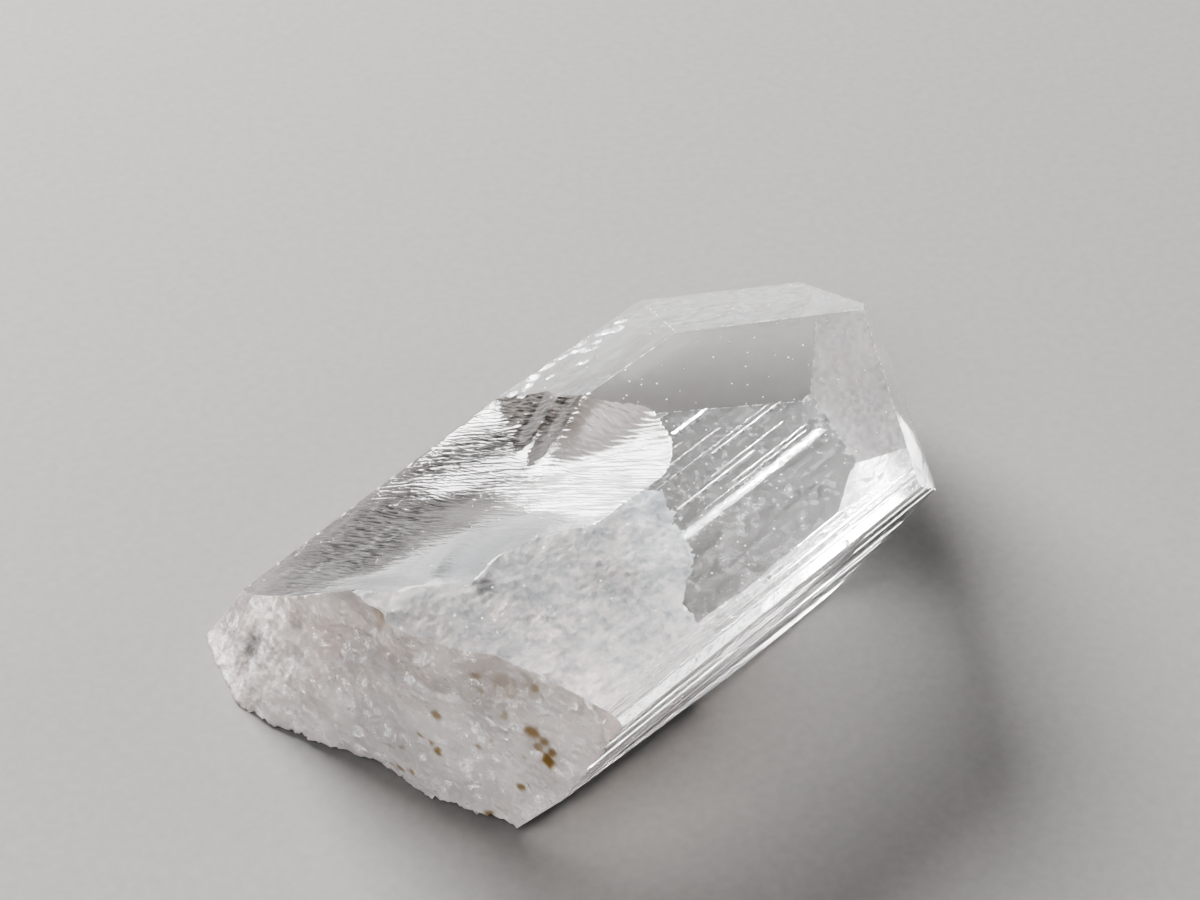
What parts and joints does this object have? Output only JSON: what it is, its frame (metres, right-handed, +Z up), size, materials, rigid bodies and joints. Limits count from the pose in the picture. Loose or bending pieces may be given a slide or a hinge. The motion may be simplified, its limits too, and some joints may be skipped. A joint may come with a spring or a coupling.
{
  "type": "danburite crystal",
  "caption": "Clear prismatic mineral crystal lying on a broad prism face, with a chisel-shaped termination, a rough broken end and a long silky chip along one edge.",
  "frame": {"origin": "on the resting plane, under the centre of the crystal's bounding box", "axes": "+X along the prism axis towards the termination, +Z up from the resting face, +Y towards the bevelled far side"},
  "size_m": [0.0284, 0.0192, 0.008],
  "materials": {
    "danburite": "natural glassy crystal faces, with a silky fracture and a matt, granular broken end with rusty specks"
  },
  "bodies": {
    "root": {"danburite_crystal": "danburite"}
  },
  "joints": []
}
